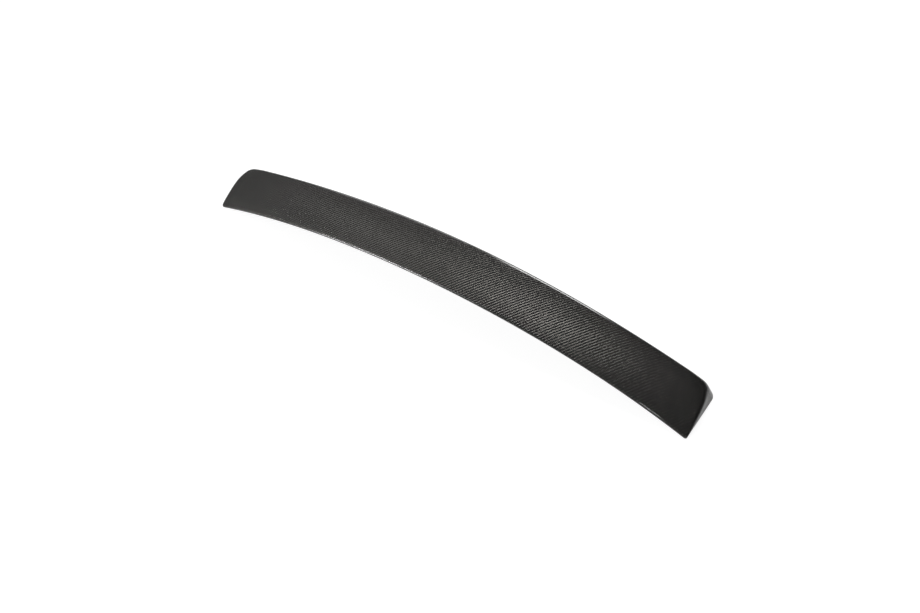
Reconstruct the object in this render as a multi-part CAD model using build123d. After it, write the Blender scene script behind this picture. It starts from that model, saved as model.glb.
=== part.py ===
from build123d import *
import os
from math import cos, hypot, radians, tan

# Roof spoiler moulded as one thin laminate shell. X runs along its length, the leading edge faces -Y, the
# raised trailing edge faces +Y, and it stands on the feet of its two ends at Z = 0. Millimetres, degrees.

# Plan of the walls at the height of the feet
lead_width = 1140.0     # across the two front corners
end_flare = 16.0        # each rear corner, before it is rounded, lies this far outside the front corner
end_depth = 122.3       # from front corner to rear corner, fore and aft
lead_bow = 31.7         # the middle of the leading edge lies this far behind its ends
lead_fullness = 0.20    # how much fuller than a parabola that edge is towards its ends
wall_bow = 51.5         # the middle of the rear wall lies this far behind its ends
corner_radius = 22.0    # rear corners
front_radius = 4.0      # front corners

# Lean of the walls from the vertical
rear_lean = 21.0        # rear wall
end_lean = 29.2         # end walls at the rear corner; they stand upright at the front corner

# Heights
base_rise = 51.7        # arch of the base, which follows the crown of the roof
base_fullness = 0.06
edge_height = 4.2       # upright face of the leading edge
tail_height = 43.1      # trailing edge above the feet, at its ends
tail_rise = 35.7        # the middle of the trailing edge stands this far above its ends
tail_fullness = 0.20
camber = 6.0            # crown of the upper skin between its leading and trailing edges

# Laminate
wall = 2.5              # thickness of the skin and the walls
edge_land = 6.0         # solid strip behind the leading edge
flange_width = 14.0     # turned-in bonding flange, clear of the walls
flange_thickness = 2.5
foot_width = 5.0        # flat strip at each end that stands on the ground

# Edges
edge_radius = 2.8       # round all about the upper skin
inner_radius = 3.0      # round between the hollow's roof and its walls

lead_half = lead_width / 2
tail_half = lead_half + end_flare
rear_slope = tan(radians(rear_lean))
skin_depth = end_depth - tail_height * rear_slope
skin_bow = wall_bow - tail_rise * rear_slope
front_y = -(end_depth + wall_bow - base_rise * rear_slope) / 2

# The bodies that cut the shell to shape run on past it
overrun = tail_height
span_reach = (tail_half + overrun) / lead_half
body_top = tail_height + tail_rise + camber


def crown_controls(fullness, reach):
    """Bezier ordinates of a curve along the span that is 1 at the middle and 0 at the share 1 of its half."""
    square = (fullness - 1) * reach**2
    fourth = -fullness * reach**4
    end = 1 + square + fourth
    beside = 1 - fourth
    middle = 1 - square / 3 + fourth
    return [end, beside, middle, beside, end]


def rail(half, y, bow, bow_fullness, z, rise, rise_fullness, reach=1.0):
    """Control points of a curve along the span that bows to the rear and rises at its middle."""
    shares = [-reach, -reach / 2, 0, reach / 2, reach]
    bows = crown_controls(bow_fullness, reach)
    rises = crown_controls(rise_fullness, reach)
    return [Vector(half * s, y + bow * b, z + rise * r) for s, b, r in zip(shares, bows, rises)]


def patch(front_rail, rear_rail, bulge=0.0):
    """Surface through two rails and on past both, with a crown of the given height between them."""
    near = -overrun / skin_depth
    far = 1 - 2 * near
    net = []
    for front, rear in zip(front_rail, rear_rail):
        column = []
        for a, b in ((near, near), (near, far), (far, far)):
            crown = bulge * (2 * (a + b) - 4 * a * b)
            column.append(front + (rear - front) * ((a + b) / 2) + Vector(0, 0, crown))
        net.append(column)
    return Face.make_bezier_surface(net)


def skin_patch(drop):
    """Upper skin, lowered by a drop."""
    lead = rail(
        lead_half, front_y, lead_bow, lead_fullness,
        edge_height - drop, base_rise, base_fullness, span_reach,
    )
    tail = rail(
        lead_half, front_y + skin_depth, skin_bow, 0.0,
        tail_height - drop, tail_rise, tail_fullness, span_reach,
    )
    return patch(lead, tail, camber)


def base_patch(lift):
    """Arched base, raised by a lift, which meets the ground along the inner side of both feet."""
    lead = rail(lead_half - foot_width, front_y, 0.0, 0.0, lift, base_rise, base_fullness, span_reach)
    tail = rail(tail_half - foot_width, front_y + end_depth, 0.0, 0.0, lift, base_rise, base_fullness, span_reach)
    return patch(lead, tail)


def plan(height, front_inset, wall_inset):
    """Outline of the walls at a height, drawn in from the leading edge and from the other walls."""
    lead_x = lead_half - wall_inset
    tail_x = tail_half - height * tan(radians(end_lean)) - wall_inset / cos(radians(end_lean))
    lead_y = front_y + front_inset
    tail_y = front_y + end_depth - height * rear_slope - wall_inset / cos(radians(rear_lean))
    lead = Bezier(*rail(lead_x, lead_y, lead_bow, lead_fullness, 0.0, 0.0, 0.0))
    tail = ThreePointArc((tail_x, tail_y), (0, tail_y + wall_bow), (-tail_x, tail_y))
    ends = [Line(lead @ 1, tail @ 0), Line(tail @ 1, lead @ 0)]
    return Pos(0, 0, height) * make_face(Curve() + [lead, tail, *ends])


def uprights(body):
    """Upright edges of a walled body, from the front to the rear."""
    tall = body.edges().filter_by(lambda edge: abs((edge @ 1 - edge @ 0).Z) > body_top / 2)
    return tall.sort_by(Axis.Y)


def walled_body(front_inset, wall_inset):
    """Body between the walls, from the ground up to well above the shell, with its upright corners rounded."""
    body = loft([plan(height, front_inset, wall_inset) for height in (0.0, body_top)], ruled=True)
    body = fillet(uprights(body)[2:], corner_radius - wall_inset)
    return fillet(uprights(body)[:2], front_radius)


def rounded_outside():
    """Outside of the shell, with its trailing edge, creases and leading edge rounded."""
    body = walled_body(0.0, 0.0)
    body -= extrude(skin_patch(0.0), body_top, dir=(0, 0, 1))
    body -= extrude(base_patch(0.0), -body_top, dir=(0, 0, 1))
    skin = body.faces().sort_by(Axis.Z)[-1]
    return fillet(skin.edges(), edge_radius)


def hollow():
    """Hollow under the skin, open at the bottom inside the turned-in flange."""
    skin_drop = wall * hypot(1, tail_height / skin_depth)
    body = walled_body(edge_land, wall)
    body -= extrude(skin_patch(skin_drop), body_top, dir=(0, 0, 1))
    roof = body.faces().sort_by(Axis.Z)[-1]
    body = fillet(roof.edges(), inner_radius)
    opening = walled_body(0.0, wall + flange_width)
    flange = extrude(base_patch(flange_thickness), -body_top, dir=(0, 0, 1)) - opening
    return body - flange


outside = rounded_outside()
inside = hollow()
shell = outside - inside
os.makedirs("parts", exist_ok=True)
export_step(shell.solid(), "parts/spoiler_shell.step")
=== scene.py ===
"""Arched roof spoiler in clear-coated carbon twill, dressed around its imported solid."""
import logging
from dataclasses import dataclass
from enum import IntEnum
from math import acos, atan2, cos, hypot, pi, radians, sin, sqrt, tan
from typing import Any, Callable, Dict, List, Mapping, Optional, Tuple, Union

import bmesh
import bpy
from mathutils import Matrix, Vector


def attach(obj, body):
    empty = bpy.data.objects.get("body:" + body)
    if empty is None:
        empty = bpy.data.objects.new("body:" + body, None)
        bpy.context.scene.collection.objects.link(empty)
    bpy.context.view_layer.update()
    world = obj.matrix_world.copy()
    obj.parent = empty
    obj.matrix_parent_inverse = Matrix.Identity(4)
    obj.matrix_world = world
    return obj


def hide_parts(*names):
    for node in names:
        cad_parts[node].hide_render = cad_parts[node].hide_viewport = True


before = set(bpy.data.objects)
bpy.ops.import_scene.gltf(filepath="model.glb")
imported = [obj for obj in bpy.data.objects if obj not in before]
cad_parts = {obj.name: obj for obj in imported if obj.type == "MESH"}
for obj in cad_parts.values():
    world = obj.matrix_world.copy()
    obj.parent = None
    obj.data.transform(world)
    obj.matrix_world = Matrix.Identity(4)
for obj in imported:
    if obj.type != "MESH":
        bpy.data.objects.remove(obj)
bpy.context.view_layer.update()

logging.basicConfig(level=logging.INFO, format="%(message)s")
log = logging.getLogger("spoiler")

MM = 0.001

# Layers of the shell's mesh, and the station of a point that isn't on the rim of a sheet
STATION = "station"
ZONE = "zone"
CLOTH_MAP = "Cloth"
BAKE_MAP = "OFBake"
OFF_RIM = -1

# Widths of the photograph, in pixels, and of the camera's film, in millimetres
PHOTO_WIDTH = 920
SENSOR_WIDTH = 36.0

Colour = Tuple[float, float, float, float]
Surface = Callable[[float, float], float]
Ring = List[Vector]

BLACK: Colour = (0.0, 0.0, 0.0, 1.0)
WHITE: Colour = (1.0, 1.0, 1.0, 1.0)


class Side(IntEnum):
    """The sides of the shell in plan, in the order in which its loops of points go round."""

    FRONT = 0
    RIGHT = 1
    REAR = 2
    LEFT = 3


class Zone(IntEnum):
    """The surfaces of the shell, in the order in which they follow each other round its section."""

    SKIN = 0
    EDGE = 1
    WALL = 2
    UNDERSIDE = 3
    LIP = 4
    FLANGE = 5
    LINING = 6
    COVE = 7
    ROOF = 8


OUTSIDE = (Zone.SKIN, Zone.EDGE, Zone.WALL)

# Pairs of surfaces that meet in an edge which is broken
SHARP_MEETINGS = ((Zone.WALL, Zone.UNDERSIDE), (Zone.UNDERSIDE, Zone.LIP), (Zone.LIP, Zone.FLANGE))

# Sheets of the baked map that hold the inside of the shell
INSIDE_SHEETS = {
    Zone.ROOF: 0,
    Zone.COVE: 0,
    Zone.LINING: 0,
    Zone.FLANGE: 1,
    Zone.UNDERSIDE: 2,
    Zone.LIP: 2,
}


class Slot(IntEnum):
    """The material slots of the shell."""

    GLOSS = 0
    RAW = 1


class Flow:
    """A value in a shader: arithmetic on it adds Math nodes to its graph."""

    def __init__(self, graph: "Graph", socket: bpy.types.NodeSocket) -> None:
        """Wraps an output socket of a node in the graph."""
        self.graph = graph
        self.socket = socket

    def __add__(self, other: "Value") -> "Flow":
        """Sum of two values."""
        return self.graph.math("ADD", self, other)

    def __radd__(self, other: "Value") -> "Flow":
        """Sum with a number on the left."""
        return self.graph.math("ADD", other, self)

    def __sub__(self, other: "Value") -> "Flow":
        """Difference of two values."""
        return self.graph.math("SUBTRACT", self, other)

    def __rsub__(self, other: "Value") -> "Flow":
        """Difference with a number on the left."""
        return self.graph.math("SUBTRACT", other, self)

    def __mul__(self, other: "Value") -> "Flow":
        """Product of two values."""
        return self.graph.math("MULTIPLY", self, other)

    def __rmul__(self, other: "Value") -> "Flow":
        """Product with a number on the left."""
        return self.graph.math("MULTIPLY", other, self)

    def __gt__(self, other: "Value") -> "Flow":
        """1 where this value is the larger one, 0 elsewhere."""
        return self.graph.math("GREATER_THAN", self, other)


Value = Union[Flow, float]


class Graph:
    """A node tree with short ways to add nodes, maths and colour mixes.

    Attributes:
        MIX_COLOURS: Numbers of a Mix node's two colour inputs.
        MIX_RESULT: Number of its colour output.
    """

    MIX_COLOURS = (6, 7)
    MIX_RESULT = 2

    def __init__(self, tree: bpy.types.NodeTree) -> None:
        """Takes over a tree and empties it."""
        self.tree = tree
        tree.nodes.clear()

    def node(
        self,
        kind: str,
        settings: Optional[Mapping[str, Any]] = None,
        inputs: Optional[Mapping[Union[str, int], Any]] = None,
    ) -> bpy.types.Node:
        """Adds a node.

        Args:
            kind: The node's type name.
            settings: Its properties, set first.
            inputs: Values or links of its sockets, by name or number.

        Returns:
            The new node.
        """
        node = self.tree.nodes.new(kind)
        for name, value in (settings or {}).items():
            setattr(node, name, value)
        for name, value in (inputs or {}).items():
            if isinstance(value, Flow):
                self.tree.links.new(value.socket, node.inputs[name])
            else:
                node.inputs[name].default_value = value
        return node

    def flow(self, node: bpy.types.Node, output: Union[str, int] = 0) -> Flow:
        """One output of a node as a value."""
        return Flow(self, node.outputs[output])

    def math(self, operation: str, *values: Value) -> Flow:
        """Adds a Math node on one to three values."""
        return self.flow(self.node("ShaderNodeMath", {"operation": operation}, dict(enumerate(values))))

    def mix(self, factor: Value, first: Any, second: Any) -> Flow:
        """Mixes two colours, or links to colours: a factor of 0 gives the first and 1 the second."""
        inputs = {0: factor, **dict(zip(self.MIX_COLOURS, (first, second)))}
        return self.flow(self.node("ShaderNodeMix", {"data_type": "RGBA"}, inputs), self.MIX_RESULT)

    def split(self, vector: Flow) -> bpy.types.Node:
        """Adds a node whose outputs X, Y and Z are the parts of a vector."""
        return self.node("ShaderNodeSeparateXYZ", None, {0: vector})

    def noise(self, vector: Flow, scale: float, detail: float) -> Flow:
        """A smooth noise from 0 to 1."""
        inputs = {"Vector": vector, "Scale": scale, "Detail": detail}
        return self.flow(self.node("ShaderNodeTexNoise", {"noise_dimensions": "3D"}, inputs), "Fac")

    def smooth_step(self, value: Value, low: float, high: float) -> Flow:
        """0 below the low end, 1 above the high end and a smooth rise between them."""
        inputs = {"Value": value, "From Min": low, "From Max": high}
        return self.flow(self.node("ShaderNodeMapRange", {"interpolation_type": "SMOOTHSTEP"}, inputs))


def new_material(name: str) -> Tuple[bpy.types.Material, Graph]:
    """Adds a material.

    Args:
        name: Its name.

    Returns:
        The material and its graph, which is empty.
    """
    material = bpy.data.materials.new(name)
    material.use_nodes = True
    return material, Graph(material.node_tree)


def new_object(name: str, data: bpy.types.ID) -> bpy.types.Object:
    """Adds an object to the scene.

    Args:
        name: Its name.
        data: Its mesh, lamp or camera.

    Returns:
        The new object.
    """
    made = bpy.data.objects.new(name, data)
    bpy.context.scene.collection.objects.link(made)
    return made


def mesh_object(name: str, bm: bmesh.types.BMesh) -> bpy.types.Object:
    """Adds a finished mesh to the scene, in place.

    Args:
        name: Name of the mesh and its object.
        bm: The mesh, which is freed.

    Returns:
        The new object.
    """
    mesh = bpy.data.meshes.new(name)
    bm.to_mesh(mesh)
    bm.free()
    return new_object(name, mesh)


def smooth_share(value: float) -> float:
    """Smooth rise from 0 to 1 as a value goes from 0 to 1."""
    held = min(1.0, max(0.0, value))
    return held * held * (3 - 2 * held)


def between(first: float, second: float, share: float) -> float:
    """Number that lies at a share of the way from one number to another."""
    return first + (second - first) * share


def lifted(flat: Vector, surface: Surface) -> Vector:
    """Point of a surface over a place in plan."""
    return Vector((flat.x, flat.y, surface(flat.x, flat.y)))


def arc_point(start: Vector, corner: Vector, end: Vector, share: float) -> Vector:
    """Point on the arc that touches both legs of a corner.

    Args:
        start: Where the arc leaves the first leg.
        corner: The sharp corner.
        end: Where the arc meets the second leg.
        share: Place on the arc, from 0 to 1.

    Returns:
        The point.
    """
    weight = cos((corner - start).angle(end - corner, 0.0) / 2)
    first, middle, last = (1 - share) ** 2, 2 * weight * share * (1 - share), share**2
    return (start * first + corner * middle + end * last) / (first + middle + last)


def arc_rings(starts: Ring, corners: Ring, ends: Ring, segments: int) -> List[Ring]:
    """Loops of the round between two surfaces, from the loop of its starts to the loop of its ends."""
    shares = [step / segments for step in range(segments + 1)]
    return [[arc_point(*legs, share) for legs in zip(starts, corners, ends)] for share in shares]


@dataclass(frozen=True)
class Crown:
    """A rise along the span: full at the middle, nothing at the ends.

    Attributes:
        rise: Height at the middle.
        fullness: How much fuller than a parabola it is towards its ends.
    """

    rise: float
    fullness: float = 0.0

    def at(self, share: float) -> float:
        """Rise at a share of the half span."""
        square = share * share
        return self.rise * (1 - square) * (1 + self.fullness * square)


@dataclass(frozen=True)
class Outline:
    """An outline of the walls in plan, drawn in from the outside of the shell.

    Attributes:
        front_inset: How far it lies behind the leading edge.
        wall_inset: How far it lies inside the ends and the rear wall.
        front_radius: Round of its front corners.
        rear_radius: Round of its rear corners.
    """

    front_inset: float
    wall_inset: float
    front_radius: float
    rear_radius: float


@dataclass
class SpoilerForm:
    """The shape of the shell, in metres: X along it, the leading edge towards -Y, Z up from its feet.

    Attributes:
        lead_half: Half the distance across the two front corners.
        end_flare: How far a rear corner lies outside the front corner.
        end_depth: Distance from front corner to rear corner, fore and aft.
        rear_lean: Lean of the rear wall from the vertical.
        end_lean: Lean of the end walls at the rear corner. At the front corner they are upright.
        wall_bow: How far the middle of the rear wall lies behind its ends.
        tail_height: Height of the trailing edge at its ends.
        edge_height: Height of the upright face of the leading edge.
        camber: Crown of the skin between its leading and trailing edges.
        foot_width: Width of the flat strip at each end that stands on the ground.
        wall: Thickness of the skin and the walls.
        edge_land: Depth of the solid strip behind the leading edge.
        flange_width: Width of the turned-in flange, clear of the walls.
        flange_thickness: Thickness of the flange.
        lead_bow: How far the leading edge lies behind its ends.
        base_arch: Arch of the base.
        tail_arch: Rise of the trailing edge above its ends.
        front_radius: Round of the front corners.
        rear_radius: Round of the rear corners.
        opening_front_radius: Round of the front corners of the opening inside the flange.
        opening_rear_radius: Round of its rear corners.
        corner_droop: How far the skin rolls down at the rear corners.
        droop_reach: Distance from the corner over which it does so.
        droop_height: Height at which the walls meet in that corner.
    """

    lead_half: float = 570.0 * MM
    end_flare: float = 16.0 * MM
    end_depth: float = 122.3 * MM
    rear_lean: float = radians(21.0)
    end_lean: float = radians(29.2)
    wall_bow: float = 51.5 * MM
    tail_height: float = 43.1 * MM
    edge_height: float = 4.2 * MM
    camber: float = 6.0 * MM
    foot_width: float = 5.0 * MM
    wall: float = 2.5 * MM
    edge_land: float = 6.0 * MM
    flange_width: float = 14.0 * MM
    flange_thickness: float = 2.5 * MM
    lead_bow: Crown = Crown(31.7 * MM, 0.20)
    base_arch: Crown = Crown(51.7 * MM, 0.06)
    tail_arch: Crown = Crown(35.7 * MM, 0.20)
    front_radius: float = 4.0 * MM
    rear_radius: float = 19.5 * MM
    opening_front_radius: float = 1.5 * MM
    opening_rear_radius: float = 5.0 * MM
    corner_droop: float = 4.0 * MM
    droop_reach: float = 40.0 * MM
    droop_height: float = 35.0 * MM

    def __post_init__(self) -> None:
        """Works out the sizes and outlines that follow from the others."""
        slope = tan(self.rear_lean)
        self.tail_half = self.lead_half + self.end_flare
        self.skin_depth = self.end_depth - self.tail_height * slope
        self.skin_bow = Crown(self.wall_bow - self.tail_arch.rise * slope)
        self.front_y = -(self.end_depth + self.wall_bow - self.base_arch.rise * slope) / 2
        self.skin_drop = self.wall * hypot(1, self.tail_height / self.skin_depth)
        corner_x = self.tail_half - self.droop_height * tan(self.end_lean)
        self.droop_corner = Vector((corner_x, self.front_y + self.end_depth - self.droop_height * slope))
        self.outer = Outline(0.0, 0.0, self.front_radius, self.rear_radius)
        self.inner = Outline(self.edge_land, self.wall, self.front_radius, self.rear_radius - self.wall)
        flange_inset = self.wall + self.flange_width
        self.opening = Outline(
            self.edge_land, flange_inset, self.opening_front_radius, self.opening_rear_radius
        )

    def lead_line(self, x: float) -> float:
        """Y of the leading edge."""
        return self.front_y + self.lead_bow.at(x / self.lead_half)

    def skin_height(self, x: float, y: float) -> float:
        """Height of the upper skin, which runs on past its edges.

        Args:
            x: Place along the length.
            y: Place from front to rear.

        Returns:
            The height.
        """
        share = x / self.lead_half
        lead_y = self.lead_line(x)
        tail_y = self.front_y + self.skin_depth + self.skin_bow.at(share)
        lead_z = self.edge_height + self.base_arch.at(share)
        tail_z = self.tail_height + self.tail_arch.at(share)
        part = (y - lead_y) / (tail_y - lead_y)
        plain = lead_z + (tail_z - lead_z) * part + 4 * self.camber * part * (1 - part)
        away = (Vector((abs(x), y)) - self.droop_corner).length / self.droop_reach
        return plain - self.corner_droop * max(0.0, 1 - away) ** 2

    def roof_height(self, x: float, y: float) -> float:
        """Height of the hollow's roof under the skin."""
        return self.skin_height(x, y) - self.skin_drop

    def base_height(self, x: float, y: float) -> float:
        """Height of the arched base, which lies on the ground under the feet.

        Args:
            x: Place along the length.
            y: Place from front to rear.

        Returns:
            The height.
        """
        part = (y - self.front_y) / self.end_depth
        half = self.lead_half + (self.tail_half - self.lead_half) * part - self.foot_width
        return max(0.0, self.base_arch.at(x / half))

    def flange_height(self, x: float, y: float) -> float:
        """Height of the flange's upper face."""
        return self.base_height(x, y) + self.flange_thickness


@dataclass(frozen=True)
class Round:
    """A rounded corner in plan: an arc from the long side to the end.

    Attributes:
        centre: Centre of the arc.
        side_tangent: Where the arc leaves the long side.
        end_tangent: Where it meets the end.
    """

    centre: Vector
    side_tangent: Vector
    end_tangent: Vector

    def at(self, share: float) -> Vector:
        """Point on the arc.

        Args:
            share: Place on the arc, 0 at the long side and 1 at the end.

        Returns:
            The point in plan.
        """
        start = self.side_tangent - self.centre
        end = self.end_tangent - self.centre
        turn = atan2(start.x * end.y - start.y * end.x, start.dot(end)) * share
        return self.centre + Matrix.Rotation(turn, 2) @ start


@dataclass
class WallLoop:
    """Points round the shell at any height, in the same order for every outline.

    Attributes:
        form: The shape of the shell.
        end_steps: Steps along the straight part of an end.
        corner_steps: Steps of half a rear corner.
        tip_steps: Steps of half a front corner.
        first_step: Step along the length next to the rear corners.
        growth: How much each step grows on the one before it, away from the ends.
        long_step: Longest step along the length.
        settle_rounds: Rounds in which a wall's point is brought to a surface.
    """

    form: SpoilerForm
    end_steps: int = 18
    corner_steps: int = 8
    tip_steps: int = 2
    first_step: float = 2.6 * MM
    growth: float = 1.18
    long_step: float = 9.0 * MM
    settle_rounds: int = 12

    def __post_init__(self) -> None:
        """Works out the shares of the half span at which the long sides have their points."""
        steps = [self.first_step]
        while sum(steps) < self.form.lead_half - self.form.rear_radius:
            steps.append(min(steps[-1] * self.growth, self.long_step))
        steps.reverse()
        self.shares = [sum(steps[:count]) / sum(steps) for count in range(len(steps) + 1)]
        self.knee = len(steps)
        self.half = self.knee + self.corner_steps
        self.columns = 2 * self.half
        self.rows = self.tip_steps + self.end_steps + self.corner_steps
        self.count = 2 * (self.columns + self.rows)

    def corners(self, outline: Outline, height: float) -> Tuple[Vector, Vector]:
        """Sharp corners of the right-hand end.

        Args:
            outline: The outline that they belong to.
            height: Height above the feet.

        Returns:
            The front corner and the rear corner, in plan.
        """
        form = self.form
        front = Vector((form.lead_half - outline.wall_inset, form.front_y + outline.front_inset))
        rear_x = form.tail_half - height * tan(form.end_lean) - outline.wall_inset / cos(form.end_lean)
        rear_y = form.front_y + form.end_depth - height * tan(form.rear_lean)
        return front, Vector((rear_x, rear_y - outline.wall_inset / cos(form.rear_lean)))

    def lead_point(self, outline: Outline, x: float) -> Vector:
        """Point of an outline's front side.

        Args:
            outline: The outline.
            x: Place along the length.

        Returns:
            The point in plan.
        """
        base = self.form.inner if outline.front_inset else outline
        half = self.form.lead_half - base.wall_inset
        return Vector((x, self.form.front_y + outline.front_inset + self.form.lead_bow.at(x / half)))

    def front_round(self, outline: Outline, height: float) -> Round:
        """Round of the right-hand front corner.

        Args:
            outline: The outline.
            height: Height above the feet.

        Returns:
            The round.
        """
        front, rear = self.corners(outline, height)
        front = self.lead_point(outline, front.x)
        radius = outline.front_radius
        side = (self.lead_point(outline, front.x - radius) - front).normalized()
        end = (rear - front).normalized()
        opening = acos(side.dot(end))
        reach = radius / tan(opening / 2)
        centre = front + (side + end).normalized() * (radius / sin(opening / 2))
        return Round(centre, front + side * reach, front + end * reach)

    def rear_arc(self, outline: Outline, height: float) -> Tuple[Vector, float]:
        """Bow of the rear wall in plan.

        Args:
            outline: The outline.
            height: Height above the feet.

        Returns:
            Centre and radius of the bow.
        """
        rear = self.corners(outline, height)[1]
        bow = self.form.wall_bow
        radius = (rear.x**2 + bow**2) / (2 * bow)
        return Vector((0.0, rear.y + bow - radius)), radius

    def rear_round(self, outline: Outline, height: float) -> Round:
        """Round of the right-hand rear corner, between the end and the bowed rear wall.

        Args:
            outline: The outline.
            height: Height above the feet.

        Returns:
            The round.
        """
        front, rear = self.corners(outline, height)
        hub, bend = self.rear_arc(outline, height)
        radius = outline.rear_radius
        end = (front - rear).normalized()
        inward = Vector((end.y, -end.x))
        start = rear + inward * radius - hub
        ahead = -start.dot(end)
        reach = ahead - sqrt(ahead**2 - start.length_squared + (bend - radius) ** 2)
        centre = hub + start + end * reach
        return Round(centre, hub + (centre - hub).normalized() * bend, rear + end * reach)

    def front_point(self, outline: Outline, height: float, step: int) -> Vector:
        """Point on the right-hand half of the front.

        Args:
            outline: The outline.
            height: Height above the feet.
            step: Number of steps from the middle.

        Returns:
            The point in plan.
        """
        corner = self.front_round(outline, height)
        tip = self.half - self.tip_steps
        if step > tip:
            return corner.at((step - tip) / self.tip_steps / 2)
        knee_x = corner.side_tangent.x - self.form.rear_radius / 2
        if step <= self.knee:
            return self.lead_point(outline, knee_x * self.shares[step])
        beyond = (step - self.knee) / (tip - self.knee)
        return self.lead_point(outline, between(knee_x, corner.side_tangent.x, beyond))

    def rear_point(self, outline: Outline, height: float, step: int) -> Vector:
        """Point on the right-hand half of the rear wall.

        Args:
            outline: The outline.
            height: Height above the feet.
            step: Number of steps from the middle.

        Returns:
            The point in plan.
        """
        corner = self.rear_round(outline, height)
        if step > self.knee:
            return corner.at((step - self.knee) / self.corner_steps / 2)
        hub, bend = self.rear_arc(outline, height)
        x = corner.side_tangent.x * self.shares[step]
        return Vector((x, hub.y + sqrt(bend**2 - x**2)))

    def end_point(self, outline: Outline, height: float, step: int) -> Vector:
        """Point on the right-hand end.

        Args:
            outline: The outline.
            height: Height above the feet.
            step: Number of steps from the front.

        Returns:
            The point in plan.
        """
        front = self.front_round(outline, height)
        rear = self.rear_round(outline, height)
        if step <= self.tip_steps:
            return front.at((1 + step / self.tip_steps) / 2)
        if step >= self.tip_steps + self.end_steps:
            left = self.rows - step
            return rear.at(1 - (1 - left / self.corner_steps) / 2)
        share = (step - self.tip_steps) / self.end_steps
        return front.end_tangent.lerp(rear.end_tangent, share)

    def point(self, outline: Outline, height: float, station: int) -> Vector:
        """Point of the loop in plan, counted from the left front corner along the front.

        Args:
            outline: The outline to follow.
            height: Height above the feet.
            station: Number of the point.

        Returns:
            The point in plan.
        """
        for side in Side:
            steps = self.rows if side in (Side.RIGHT, Side.LEFT) else self.columns
            if station < steps:
                break
            station -= steps
        if side is Side.RIGHT:
            return self.end_point(outline, height, station)
        if side is Side.LEFT:
            mirrored = self.end_point(outline, height, self.rows - station)
            return Vector((-mirrored.x, mirrored.y))
        place = station - self.half if side is Side.FRONT else self.half - station
        find = self.front_point if side is Side.FRONT else self.rear_point
        found = find(outline, height, abs(place))
        return Vector((found.x if place >= 0 else -found.x, found.y))

    def settle(self, outline: Outline, station: int, surface: Surface) -> Vector:
        """Point where the wall of an outline meets a surface.

        Args:
            outline: The outline of the wall.
            station: Number of the point.
            surface: Height of the surface at a place in plan.

        Returns:
            The point in space.
        """
        height = 0.0
        for _ in range(self.settle_rounds):
            flat = self.point(outline, height, station)
            height = surface(flat.x, flat.y)
        return Vector((flat.x, flat.y, height))

    def is_end(self, station: int) -> bool:
        """Whether a point lies on one of the two ends."""
        return self.columns < station < self.columns + self.rows or station > 2 * self.columns + self.rows

    def station_of(self, column: int, row: int) -> int:
        """Number of a point on the rim of a grid whose rim is this loop.

        Args:
            column: The point's column, from the left.
            row: Its row, from the front.

        Returns:
            The number.
        """
        if row == 0 and column < self.columns:
            return column
        if column == self.columns and row < self.rows:
            return self.columns + row
        if row == self.rows and column > 0:
            return self.columns + self.rows + self.columns - column
        return 2 * self.columns + self.rows + self.rows - row


@dataclass(frozen=True)
class EdgeRound:
    """How the skin rolls over into the walls.

    Attributes:
        lead_reach: Reach of the round from the edge, along the leading edge.
        crease_reach: Its reach along the ends.
        tail_reach: Its reach along the trailing edge.
        corner_skin_reach: Its reach over the skin at the rear corners.
        corner_wall_reach: Its reach down the wall at the rear corners.
        end_upright: How much of the lean of the ends is gone where they meet the skin.
        tail_upright: The same along the trailing edge.
        corner_upright: The same at the rear corners.
        side_blend: Distance behind a front corner over which the round grows.
        corner_blend: Distance from the middle of a rear corner over which it fades to the plain round.
        segments: Steps of the round.
    """

    lead_reach: float = 2.8 * MM
    crease_reach: float = 6.5 * MM
    tail_reach: float = 5.4 * MM
    corner_skin_reach: float = 7.0 * MM
    corner_wall_reach: float = 17.0 * MM
    end_upright: float = 0.28
    tail_upright: float = 0.07
    corner_upright: float = 0.12
    side_blend: float = 40.0 * MM
    corner_blend: float = 42.0 * MM
    segments: int = 8


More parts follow.
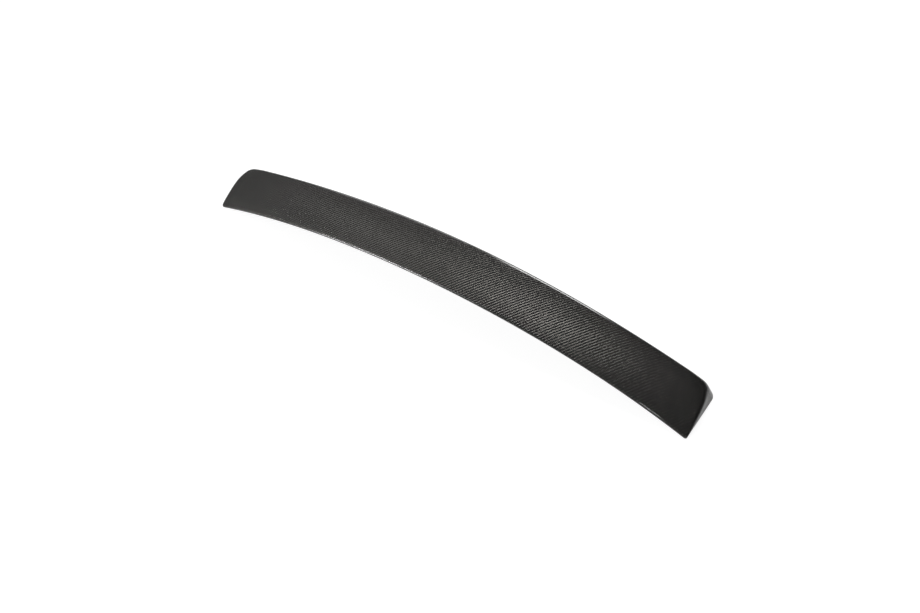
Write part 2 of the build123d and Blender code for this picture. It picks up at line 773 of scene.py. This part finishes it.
@dataclass
class LaminateShell:
    """The moulded shell: skin, walls, turned-in flange and hollow, as one closed mesh.

    Attributes:
        form: The shape of the shell.
        edge: The round between the skin and the walls.
        name: Name of the piece.
        cove_reach: Reach of the cove between the hollow's roof and its walls.
        cove_share: Most of a low wall's height that the cove may take.
        cove_segments: Steps of the cove.
        lead_lip_share: Height of the lip behind the leading edge, where there is no flange, as a share
            of the hollow's height.
        lead_lining_share: The same for the foot of the lining.
        weld_distance: Points nearer than this become one.
        break_offset: Width by which moulded edges are broken.
        break_segments: Steps of a broken edge.
        break_angle: Least turn of an edge that is broken, in radians.
        flap_corner: Place in plan beyond which the cloth folds over the ends and the rear.
        lead_strip: Depth of the strip from which it folds over the leading edge.
        flap_share: Cloth that a wall takes up, beyond its lean in plan, as a share of its height.
        inside_spare: Depth below which the cloth of the inside folds, in thicknesses of the skin.
        map_strips: Strips into which the baked map cuts the outside.
        map_margin: Space between the islands of the baked map.
        inside_scale: Scale of the inside in the baked map, against the outside.
        normal_weight: How strongly large faces rule the shading, where 50 is neutral.
    """

    form: SpoilerForm
    edge: EdgeRound = EdgeRound()
    name: str = "laminate_shell"
    cove_reach: float = 2.4 * MM
    cove_share: float = 0.45
    cove_segments: int = 3
    lead_lip_share: float = 0.25
    lead_lining_share: float = 0.5
    weld_distance: float = 0.002 * MM
    break_offset: float = 0.25 * MM
    break_segments: int = 2
    break_angle: float = 0.3
    flap_corner: Tuple[float, float] = (545.0 * MM, 8.0 * MM)
    lead_strip: float = 8.0 * MM
    flap_share: float = 0.7
    inside_spare: float = 1.05
    map_strips: int = 6
    map_margin: float = 9.0 * MM
    inside_scale: float = 0.45
    normal_weight: int = 100

    def __post_init__(self) -> None:
        """Lays the loops of points at which one surface of the section meets the next."""
        form = self.form
        self.loop = WallLoop(form)
        self.skin_rim, edge_rings = self.rolled_edge()
        foot = self.settled(form.outer, form.base_height)
        opening = self.settled(form.opening, form.base_height)
        lip = self.settled(form.opening, form.flange_height)
        lining = self.settled(form.inner, form.flange_height)
        roof = self.settled(form.inner, form.roof_height)
        for k in range(1, self.loop.columns):
            rise = roof[k].z - opening[k].z
            lip[k].z = opening[k].z + rise * self.lead_lip_share
            lining[k].z = opening[k].z + rise * self.lead_lining_share
        self.roof_rim, cove_rings = self.coved_roof(lining, roof)
        self.rings: List[Tuple[Zone, Ring]] = [(Zone.EDGE, ring) for ring in edge_rings]
        self.rings += [(Zone.WALL, foot), (Zone.UNDERSIDE, opening), (Zone.LIP, lip)]
        self.rings += [(Zone.FLANGE, lining), (Zone.LINING, cove_rings[0])]
        self.rings += [(Zone.COVE, ring) for ring in cove_rings[1:]]

    def settled(self, outline: Outline, surface: Surface) -> Ring:
        """Whole loop at which the wall of an outline meets a surface."""
        return [self.loop.settle(outline, station, surface) for station in range(self.loop.count)]

    def inward(self, ring: Ring, station: int) -> Vector:
        """Direction in plan that points into a loop, at one of its points."""
        run = ring[(station + 1) % self.loop.count] - ring[station - 1]
        return Vector((-run.y, run.x)).normalized()

    def edge_blends(self, sharp: Ring) -> Tuple[List[float], List[float]]:
        """Works out how the round changes along the border of the skin.

        Args:
            sharp: Loop at which the walls would meet the skin.

        Returns:
            For each point, how near it is to a rear corner and how far the round has grown behind a
            front corner, both from 0 to 1.
        """
        loop, edge = self.loop, self.edge
        rear_middles = [sharp[loop.station_of(column, loop.rows)] for column in (0, loop.columns)]
        front_middles = [sharp[loop.station_of(column, 0)] for column in (0, loop.columns)]
        nearness, growth = [], []
        for k, corner in enumerate(sharp):
            away = min((corner - middle).length for middle in rear_middles)
            nearness.append(cos(pi / 2 * min(1.0, away / edge.corner_blend)) ** 2)
            behind = min((corner - middle).length for middle in front_middles)
            growth.append(0.0 if k <= loop.columns else smooth_share(behind / edge.side_blend))
        return nearness, growth

    def rolled_edge(self) -> Tuple[Ring, List[Ring]]:
        """Lays the round between the skin and the walls.

        Returns:
            The rim of the skin, and the loops from there to the top of the walls.
        """
        form, loop, edge = self.form, self.loop, self.edge
        sharp = self.settled(form.outer, form.skin_height)
        foot = self.settled(form.outer, form.base_height)
        nearness, growth = self.edge_blends(sharp)
        for k, near in enumerate(nearness):
            plain = edge.end_upright if loop.is_end(k) else edge.tail_upright
            upright = between(plain, edge.corner_upright, near)
            sharp[k] = lifted(sharp[k].lerp(foot[k], upright), form.skin_height)
        rim, tops = [], []
        for k, corner in enumerate(sharp):
            side = edge.crease_reach if loop.is_end(k) else edge.tail_reach
            plain = between(edge.lead_reach, side, growth[k])
            skin_reach = between(plain, edge.corner_skin_reach, nearness[k])
            wall_reach = between(plain, edge.corner_wall_reach, nearness[k])
            rim.append(lifted(corner.xy + self.inward(sharp, k) * skin_reach, form.skin_height))
            tops.append(corner + (foot[k] - corner).normalized() * wall_reach)
        return rim, arc_rings(rim, sharp, tops, edge.segments)[1:]

    def coved_roof(self, lining: Ring, roof: Ring) -> Tuple[Ring, List[Ring]]:
        """Lays the cove between the hollow's walls and its roof.

        Args:
            lining: Loop at the foot of the hollow's walls.
            roof: Loop at which these walls would meet the roof.

        Returns:
            The rim of the roof, and the loops from the walls up to it.
        """
        rim, tops = [], []
        for k, corner in enumerate(roof):
            reach = min(self.cove_reach, self.cove_share * (corner - lining[k]).length)
            rim.append(lifted(corner.xy + self.inward(roof, k) * reach, self.form.roof_height))
            tops.append(corner + (lining[k] - corner).normalized() * reach)
        return rim, arc_rings(tops, roof, rim, self.cove_segments)

    def lay_sheet(self, bm: bmesh.types.BMesh, rim: Ring, surface: Surface, zone: Zone) -> None:
        """Adds a grid of quads, fits its rim to a loop and lays it on a surface.

        Args:
            bm: The mesh to add to.
            rim: Points of the loop.
            surface: Height of the surface at a place in plan.
            zone: The surface that its faces belong to.
        """
        loop = self.loop
        stations = bm.verts.layers.int[STATION]
        zones = bm.faces.layers.int[ZONE]
        made = bmesh.ops.create_grid(bm, x_segments=loop.columns, y_segments=loop.rows, size=1.0)["verts"]

        def rim_point(column: int, row: int) -> Vector:
            """Plan of a point on the rim."""
            return rim[loop.station_of(column, row)].xy

        low_left, low_right = rim_point(0, 0), rim_point(loop.columns, 0)
        top_left, top_right = rim_point(0, loop.rows), rim_point(loop.columns, loop.rows)
        for vert in made:
            column = round((vert.co.x + 1) / 2 * loop.columns)
            row = round((vert.co.y + 1) / 2 * loop.rows)
            bottom, top = rim_point(column, 0), rim_point(column, loop.rows)
            left, right = rim_point(0, row), rim_point(loop.columns, row)
            across = (bottom.x - low_left.x) / (low_right.x - low_left.x)
            along = (right.y - low_right.y) / (top_right.y - low_right.y)
            flat = bottom.lerp(top, along) + left.lerp(right, across)
            flat -= low_left.lerp(low_right, across).lerp(top_left.lerp(top_right, across), along)
            vert.co = lifted(flat, surface)
            vert[stations] = OFF_RIM
            if column in (0, loop.columns) or row in (0, loop.rows):
                vert[stations] = loop.station_of(column, row)
                vert.co = rim[vert[stations]]
        for face in {face for vert in made for face in vert.link_faces}:
            face[zones] = zone

    def add_ring(
        self, bm: bmesh.types.BMesh, edges: List[bmesh.types.BMEdge], zone: Zone, ring: Ring
    ) -> List[bmesh.types.BMEdge]:
        """Extrudes a loop of edges to the next loop of the section.

        Args:
            bm: The mesh to add to.
            edges: The loop to extrude.
            zone: The surface that the new faces belong to.
            ring: Where the new loop lies.

        Returns:
            The new loop of edges.
        """
        stations = bm.verts.layers.int[STATION]
        zones = bm.faces.layers.int[ZONE]
        made = bmesh.ops.extrude_edge_only(bm, edges=edges)["geom"]
        fresh = {item for item in made if isinstance(item, bmesh.types.BMVert)}
        for vert in fresh:
            vert.co = ring[vert[stations]]
        for face in (item for item in made if isinstance(item, bmesh.types.BMFace)):
            face[zones] = zone
        made_edges = (item for item in made if isinstance(item, bmesh.types.BMEdge))
        return [edge for edge in made_edges if fresh.issuperset(edge.verts)]

    def break_edges(self, bm: bmesh.types.BMesh, first: Zone, second: Zone) -> None:
        """Takes the sharpness off the edges at which two surfaces of the section meet.

        Args:
            bm: The mesh to change.
            first: One of the surfaces.
            second: The other.
        """
        zones = bm.faces.layers.int[ZONE]
        meeting = [
            edge for edge in bm.edges if {face[zones] for face in edge.link_faces} == {first, second}
        ]
        bmesh.ops.bevel(
            bm,
            geom=[edge for edge in meeting if edge.calc_face_angle(0.0) > self.break_angle],
            offset=self.break_offset,
            offset_type="OFFSET",
            segments=self.break_segments,
            profile=0.5,
            affect="EDGES",
            material=-1,
            clamp_overlap=True,
        )

    def build(self) -> bpy.types.Object:
        """Models the shell.

        Returns:
            The new object, in place in the frame.
        """
        bm = bmesh.new()
        bm.verts.layers.int.new(STATION)
        zones = bm.faces.layers.int.new(ZONE)
        self.lay_sheet(bm, self.skin_rim, self.form.skin_height, Zone.SKIN)
        edges = [edge for edge in bm.edges if edge.is_boundary]
        for zone, ring in self.rings:
            edges = self.add_ring(bm, edges, zone, ring)
        self.lay_sheet(bm, self.roof_rim, self.form.roof_height, Zone.ROOF)
        bmesh.ops.remove_doubles(bm, verts=bm.verts, dist=self.weld_distance)
        bmesh.ops.recalc_face_normals(bm, faces=bm.faces)
        for first, second in SHARP_MEETINGS:
            self.break_edges(bm, first, second)
        for face in bm.faces:
            face.smooth = True
            face.material_index = Slot.GLOSS if face[zones] in OUTSIDE else Slot.RAW
        self.map_cloth(bm)
        self.map_bake(bm)
        shell = mesh_object(self.name, bm)
        weigh = shell.modifiers.new("Even normals", "WEIGHTED_NORMAL")
        weigh.mode = "FACE_AREA"
        weigh.weight = self.normal_weight
        return shell

    def flap_direction(self, x: float, y: float) -> Vector:
        """Direction in which the cloth folds over the rim.

        Args:
            x: Place along the length.
            y: Place from front to rear.

        Returns:
            The direction in plan, of no length where the cloth lies flat.
        """
        form = self.form
        if y - form.lead_line(x) < self.lead_strip and abs(x) < form.lead_half - form.front_radius:
            return Vector((0.0, -1.0))
        corner_x, corner_y = self.flap_corner
        beyond = Vector((max(0.0, abs(x) - corner_x), max(0.0, y - corner_y)))
        if beyond.length == 0.0:
            return beyond
        beyond.normalize()
        return Vector((beyond.x if x > 0 else -beyond.x, beyond.y))

    def map_cloth(self, bm: bmesh.types.BMesh) -> None:
        """Gives every corner of a face its place on the flat cloth, in metres.

        Args:
            bm: The mesh to map.
        """
        cloth = bm.loops.layers.uv.new(CLOTH_MAP)
        zones = bm.faces.layers.int[ZONE]
        for face in bm.faces:
            spare = 0.0 if face[zones] in OUTSIDE else self.inside_spare * self.form.skin_drop
            for corner in face.loops:
                place = corner.vert.co
                drop = max(0.0, self.form.skin_height(place.x, place.y) - place.z - spare)
                fold = self.flap_direction(place.x, place.y) * (self.flap_share * drop)
                corner[cloth].uv = place.xy + fold

    def map_bake(self, bm: bmesh.types.BMesh) -> None:
        """Packs the cloth into one square map: the outside in strips, the inside smaller above them.

        Args:
            bm: The mesh to map.
        """
        cloth = bm.loops.layers.uv[CLOTH_MAP]
        packed = bm.loops.layers.uv.new(BAKE_MAP)
        zones = bm.faces.layers.int[ZONE]
        islands: Dict[int, List[bmesh.types.BMLoop]] = {}
        for face in bm.faces:
            middle = face.calc_center_median().x / self.form.tail_half
            strip = min(self.map_strips - 1, int((middle + 1) / 2 * self.map_strips))
            key = strip if face[zones] in OUTSIDE else self.map_strips + INSIDE_SHEETS[Zone(face[zones])]
            islands.setdefault(key, []).extend(face.loops)
        left, base, row_height = 0.0, 0.0, 0.0
        across = self.map_strips // 2
        for key in sorted(islands):
            scale = 1.0 if key < self.map_strips else self.inside_scale
            places = [corner[cloth].uv.copy() for corner in islands[key]]
            low = Vector((min(place.x for place in places), min(place.y for place in places)))
            high = Vector((max(place.x for place in places), max(place.y for place in places)))
            if key in (0, across) or key >= self.map_strips:
                left, base, row_height = 0.0, base + row_height, 0.0
            for corner, place in zip(islands[key], places):
                corner[packed].uv = Vector((left, base)) + (place - low) * scale
            left += (high.x - low.x) * scale + self.map_margin
            row_height = max(row_height, (high.y - low.y) * scale + self.map_margin)
        corners = [corner for face in bm.faces for corner in face.loops]
        side = max(max(corner[packed].uv) for corner in corners) + self.map_margin
        border = Vector((0.5, 0.5)) * self.map_margin
        for corner in corners:
            corner[packed].uv = (corner[packed].uv + border) / side

    def dress(self, shell: bpy.types.Object, gloss: "TwillFinish", raw: "TwillFinish") -> None:
        """Gives the shell its finishes and its place in the frame.

        Args:
            shell: The shell's object.
            gloss: Finish of the outside.
            raw: Finish of the inside.
        """
        shell.data.materials.append(gloss.material())
        shell.data.materials.append(raw.material())
        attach(shell, "root")
        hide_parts("spoiler_shell")


@dataclass(frozen=True)
class TwillFinish:
    """Carbon cloth in a 2x2 twill weave, set in resin.

    Attributes:
        name: Name of the material.
        tow: Width of one bundle of fibres.
        turn: How far the cloth is turned against the length of the part.
        warp_colour: Colour of the bundles that run across the part.
        weft_sheen_colour: Colour of the bundles that run along it. It is far lighter than the warp's,
            though both are the same fibre: a painted sheen for the glint these bundles catch from the
            lamps at the camera's view.
        weft_sheen_metal: How much like metal the bundles along the part shine. This carries the same
            painted sheen.
        weft_shift: Bundles by which the over and under of the weft is shifted against the warp's.
        tow_spread: How much the bundles differ from each other.
        tow_draws: Spacing of the random draws for the bundles across the part and along it.
        fine: Streaks in the width of a bundle.
        coarse: Streaks along it, in the same length.
        streak_layers: How far apart the streaks of the two sets of bundles lie in the noise.
        roughness: Roughness of the fibres.
        roughness_share: How much of the spread shows in the roughness.
        fibre_ior: Refractive index behind the gloss of the bundles across the part.
        fibre_tint: Colour of that gloss.
        crown: Height of the bundles' crowns.
        crown_power: Shape of the crowns: 1 is a ridge with flat flanks and 2 a parabola.
        wave: Height of the bundles' over and under, as a share of their crowns.
        coat: Weight of the clear coat.
        coat_roughness: Roughness of the clear coat.
        coat_ior: Refractive index of the clear coat.
    """

    name: str
    tow: float = 7.17 * MM / 4
    turn: float = radians(3.58)
    warp_colour: Colour = (0.0083, 0.0080, 0.0074, 1.0)
    # Painted sheen: the bundles along the part get a far lighter, metal-like colour than the same fibre
    # across it, for the glint they catch from the lamps at this view.
    weft_sheen_colour: Colour = (0.092, 0.089, 0.083, 1.0)
    weft_sheen_metal: float = 1.0
    weft_shift: float = 3.0
    tow_spread: float = 0.16
    tow_draws: Tuple[float, float] = (1.37, 2.71)
    fine: float = 9.0
    coarse: float = 0.35
    streak_layers: float = 7.0
    roughness: float = 0.26
    roughness_share: float = 0.3
    fibre_ior: float = 1.25
    fibre_tint: Colour = (0.25, 0.25, 0.25, 1.0)
    crown: float = 0.40 * MM
    crown_power: float = 1.5
    wave: float = 0.3
    coat: float = 1.0
    coat_roughness: float = 0.02
    coat_ior: float = 1.6

    def material(self) -> bpy.types.Material:
        """Makes the material.

        Returns:
            The new material.
        """
        material, graph = new_material(self.name)
        parts = graph.split(graph.flow(graph.node("ShaderNodeUVMap", {"uv_map": CLOTH_MAP}), "UV"))
        along, across = graph.flow(parts, "X"), graph.flow(parts, "Y")
        warp_place = along * (cos(self.turn) / self.tow) + across * (sin(self.turn) / self.tow)
        weft_place = across * (cos(self.turn) / self.tow) - along * (sin(self.turn) / self.tow)
        warp_number = graph.math("FLOOR", warp_place)
        weft_number = graph.math("FLOOR", weft_place)
        warp_wave = graph.math("COSINE", (weft_place - warp_number) * (pi / 2))
        weft_wave = graph.math("COSINE", (warp_place - weft_number - self.weft_shift) * (pi / 2))
        weft_up = weft_wave > warp_wave
        warp_height = warp_wave * self.wave + self.crown_of(graph, warp_place - warp_number)
        weft_height = weft_wave * self.wave + self.crown_of(graph, weft_place - weft_number)
        height = self.upper(weft_up, warp_height, weft_height)
        warp_draw, weft_draw = self.tow_draws
        draw = self.upper(weft_up, warp_number * warp_draw, weft_number * weft_draw)
        dice = graph.node("ShaderNodeTexWhiteNoise", {"noise_dimensions": "1D"}, {"W": draw})
        streak = self.streaks(graph, warp_place, weft_place, weft_up)
        shade = 1.0 + (graph.flow(dice) + streak - 1.0) * self.tow_spread
        warp_shade = graph.mix(shade, BLACK, self.warp_colour)
        # Painted sheen: the lighter colour of the bundles along the part.
        weft_sheen_tone = graph.mix(shade, BLACK, self.weft_sheen_colour)
        relief = {"Strength": 1.0, "Distance": self.crown, "Height": height}
        bump = graph.node("ShaderNodeBump", None, relief)
        shader = graph.node(
            "ShaderNodeBsdfPrincipled",
            None,
            {
                "Base Color": graph.mix(weft_up, warp_shade, weft_sheen_tone),
                # Painted sheen: the bundles along the part shine as metal, the bundles across it do not.
                "Metallic": weft_up * self.weft_sheen_metal,
                "Roughness": self.roughness + (streak - 0.5) * (self.roughness_share * self.tow_spread),
                "IOR": self.fibre_ior,
                "Specular Tint": self.fibre_tint,
                "Normal": graph.flow(bump),
                "Coat Weight": self.coat,
                "Coat Roughness": self.coat_roughness,
                "Coat IOR": self.coat_ior,
            },
        )
        graph.node("ShaderNodeOutputMaterial", None, {"Surface": graph.flow(shader)})
        return material

    def upper(self, weft_up: Flow, warp: Flow, weft: Flow) -> Flow:
        """Of two values, the one that belongs to the bundle on top."""
        return warp + weft_up * (weft - warp)

    def crown_of(self, graph: Graph, part: Flow) -> Flow:
        """Crown across a bundle, from the part of its width."""
        off_centre = graph.math("ABSOLUTE", part * 2.0 - 1.0)
        return 1.0 - graph.math("POWER", off_centre, self.crown_power)

    def streaks(self, graph: Graph, warp_place: Flow, weft_place: Flow, weft_up: Flow) -> Flow:
        """Fine streaks along the fibres.

        Args:
            graph: The material's graph.
            warp_place: Place across the bundles that run across the part.
            weft_place: Place across the bundles that run along it.
            weft_up: 1 where a bundle along the part lies on top.

        Returns:
            A value around a half.
        """
        first = self.upper(weft_up, warp_place * self.fine, warp_place * self.coarse)
        second = self.upper(weft_up, weft_place * self.coarse, weft_place * self.fine)
        layer = weft_up * self.streak_layers
        place = graph.flow(graph.node("ShaderNodeCombineXYZ", None, {0: first, 1: second, 2: layer}))
        return graph.noise(place, scale=1.0, detail=2.0)


@dataclass(frozen=True)
class Softbox:
    """A rectangular lamp that faces the object.

    Attributes:
        name: Name of the lamp.
        azimuth: Its bearing from the rear of the object, positive towards the right.
        elevation: Its height above the horizon, as an angle.
        distance: How far away it hangs.
        size: Its width and height.
        level: Its brightness in the middle, where 1 is white.
        target: The point that it faces.
        soft_border: Share of its width and height, at each side, over which it fades out.
    """

    name: str
    azimuth: float
    elevation: float
    distance: float
    size: Tuple[float, float]
    level: float
    target: Tuple[float, float, float]
    soft_border: float = 0.25

    def fade_out(self, lamp: bpy.types.AreaLight) -> None:
        """Makes the lamp fade out towards its borders, as a diffuser does.

        Args:
            lamp: The lamp.
        """
        lamp.use_nodes = True
        graph = Graph(lamp.node_tree)
        parts = graph.split(graph.flow(graph.node("ShaderNodeNewGeometry"), "Parametric"))
        fades = []
        for axis in ("X", "Y"):
            share = graph.flow(parts, axis)
            from_border = graph.math("MINIMUM", share, 1.0 - share)
            fades.append(graph.smooth_step(from_border, 0.0, self.soft_border))
        shine = graph.node("ShaderNodeEmission", None, {"Strength": fades[0] * fades[1]})
        graph.node("ShaderNodeOutputLight", None, {"Surface": graph.flow(shine)})

    def hang(self) -> None:
        """Adds the lamp to the scene."""
        lamp = bpy.data.lights.new(self.name, "AREA")
        lamp.shape = "RECTANGLE"
        lamp.size, lamp.size_y = self.size
        lamp.energy = self.level * pi * self.size[0] * self.size[1]
        self.fade_out(lamp)
        light = new_object(self.name, lamp)
        low = cos(self.elevation)
        aim = Vector((sin(self.azimuth) * low, cos(self.azimuth) * low, sin(self.elevation)))
        turn = aim.to_track_quat("Z", "Y").to_matrix().to_4x4()
        light.matrix_world = Matrix.Translation(Vector(self.target) + aim * self.distance) @ turn


@dataclass(frozen=True)
class Studio:
    """Floor, light and camera.

    Attributes:
        boxes: The lamps.
        left_level: Brightness of the surroundings at the left, where 1 is white.
        right_level: Their brightness at the right.
        fall_off: Where the one goes over into the other, from -1 at the left to 1 at the right.
        floor_half: Half the width of the floor.
        floor_colour: Colour of the floor under the lamps.
        floor_glow: Brightness of the white that the floor shows.
        glow_share: How much of that white the camera sees, over the colour that keeps the shadow.
        mirror_share: How much of the white a mirrored ray sees, against the camera.
        backdrop_share: The same for the white of the surroundings.
        camera_place: Where the camera stands.
        camera_elevation: How steeply it looks down.
        camera_azimuth: Its bearing from the front of the object, positive towards the right.
        focal_pixels: Focal length in pixels of the photograph.
    """

    boxes: Tuple[Softbox, ...] = (
        Softbox(
            name="back_box",
            azimuth=radians(-11.0),
            elevation=radians(40.5),
            distance=2.5,
            size=(1.15, 1.40),
            level=11.5,
            target=(0.25, 0.04, 0.07),
        ),
        Softbox(
            name="front_box",
            azimuth=radians(-154.0),
            elevation=radians(7.0),
            distance=2.4,
            size=(0.90, 0.36),
            level=50.0,
            target=(-0.16, -0.05, 0.05),
        ),
        Softbox(
            name="back_wall",
            azimuth=radians(-33.0),
            elevation=radians(27.5),
            distance=3.0,
            size=(1.8, 1.33),
            level=3.2,
            target=(-0.1, 0.0, 0.05),
        ),
        Softbox(
            name="front_wall",
            azimuth=radians(-152.0),
            elevation=radians(36.0),
            distance=2.4,
            size=(1.5, 0.90),
            level=3.4,
            target=(-0.16, -0.05, 0.05),
        ),
        Softbox(
            name="front_spot",
            azimuth=radians(173.0),
            elevation=radians(38.0),
            distance=2.4,
            size=(0.20, 0.20),
            level=34.0,
            target=(0.486, -0.07, 0.02),
        ),
    )
    left_level: float = 0.32
    right_level: float = 0.016
    fall_off: Tuple[float, float] = (-0.7, 0.7)
    floor_half: float = 12.0
    floor_colour: Colour = (0.62, 0.62, 0.62, 1.0)
    floor_glow: float = 1.66
    glow_share: float = 0.55
    mirror_share: float = 0.28
    backdrop_share: float = 0.025
    camera_place: Tuple[float, float, float] = (0.50036, -0.76334, 1.17399)
    camera_elevation: float = radians(54.0)
    camera_azimuth: float = radians(31.32)
    focal_pixels: float = 691.2

    def place_camera(self) -> None:
        """Sets up the camera of the photograph."""
        low = cos(self.camera_elevation)
        ahead, aside = cos(self.camera_azimuth), sin(self.camera_azimuth)
        back = Vector((aside * low, -ahead * low, sin(self.camera_elevation)))
        right = Vector((ahead, aside, 0.0))
        lens = bpy.data.cameras.new("camera")
        lens.sensor_width = SENSOR_WIDTH
        lens.lens = self.focal_pixels / PHOTO_WIDTH * SENSOR_WIDTH
        camera = new_object("camera", lens)
        turn = Matrix((right, back.cross(right), back)).transposed().to_4x4()
        camera.matrix_world = Matrix.Translation(self.camera_place) @ turn
        bpy.context.scene.camera = camera

    def seen(self, graph: Graph, mirror_share: float) -> Flow:
        """Tells rays that see a white surface from rays that it lights.

        Args:
            graph: The graph of the surface.
            mirror_share: How much of its white a mirrored or refracted ray sees.

        Returns:
            1 for a ray from the camera, the share for a mirrored one and 0 for any other.
        """
        path = graph.node("ShaderNodeLightPath")
        glossy, refracted = graph.flow(path, "Is Glossy Ray"), graph.flow(path, "Is Transmission Ray")
        mirrored = graph.math("MAXIMUM", glossy, refracted)
        return graph.math("MAXIMUM", graph.flow(path, "Is Camera Ray"), mirrored * mirror_share)

    def lay_floor(self) -> None:
        """Lays a pale floor that is white to the camera and keeps the object's shadow."""
        bm = bmesh.new()
        bmesh.ops.create_grid(bm, x_segments=1, y_segments=1, size=self.floor_half)
        floor = mesh_object("floor", bm)
        material, graph = new_material("floor_white")
        share = self.seen(graph, self.mirror_share) * self.glow_share
        pale = graph.flow(graph.node("ShaderNodeBsdfDiffuse", None, {"Color": self.floor_colour}))
        glow = graph.flow(graph.node("ShaderNodeEmission", None, {"Strength": self.floor_glow}))
        mixed = graph.flow(graph.node("ShaderNodeMixShader", None, {0: share, 1: pale, 2: glow}))
        graph.node("ShaderNodeOutputMaterial", None, {"Surface": mixed})
        floor.data.materials.append(material)

    def light_world(self) -> None:
        """Lights soft surroundings, which fall off to the right and are white to the camera."""
        world = bpy.data.worlds.new("studio")
        bpy.context.scene.world = world
        world.use_nodes = True
        graph = Graph(world.node_tree)
        aim = graph.flow(graph.node("ShaderNodeTexCoord"), "Generated")
        side = graph.flow(graph.split(aim), "X")
        share = graph.smooth_step(side, *self.fall_off)
        level = self.left_level + share * (self.right_level - self.left_level)
        strength = level + self.seen(graph, self.backdrop_share) * (1.0 - level)
        shade = graph.node("ShaderNodeBackground", None, {"Color": WHITE, "Strength": strength})
        graph.node("ShaderNodeOutputWorld", None, {"Surface": graph.flow(shade)})

    def set_up(self) -> None:
        """Builds the whole studio."""
        bpy.context.scene.view_settings.view_transform = "Standard"
        self.lay_floor()
        self.light_world()
        for box in self.boxes:
            box.hang()
            log.info("%s hung at level %.1f", box.name, box.level)
        self.place_camera()


def main() -> None:
    """Builds the spoiler and its studio, and notes the sizes."""
    maker = LaminateShell(SpoilerForm())
    shell = maker.build()
    gloss = TwillFinish("clear_coated_twill")
    raw = TwillFinish("raw_laminate", roughness=0.55, coat=0.0)
    maker.dress(shell, gloss, raw)
    log.info("%s: %d faces", shell.name, len(shell.data.polygons))
    Studio().set_up()


if __name__ == "__main__":
    main()
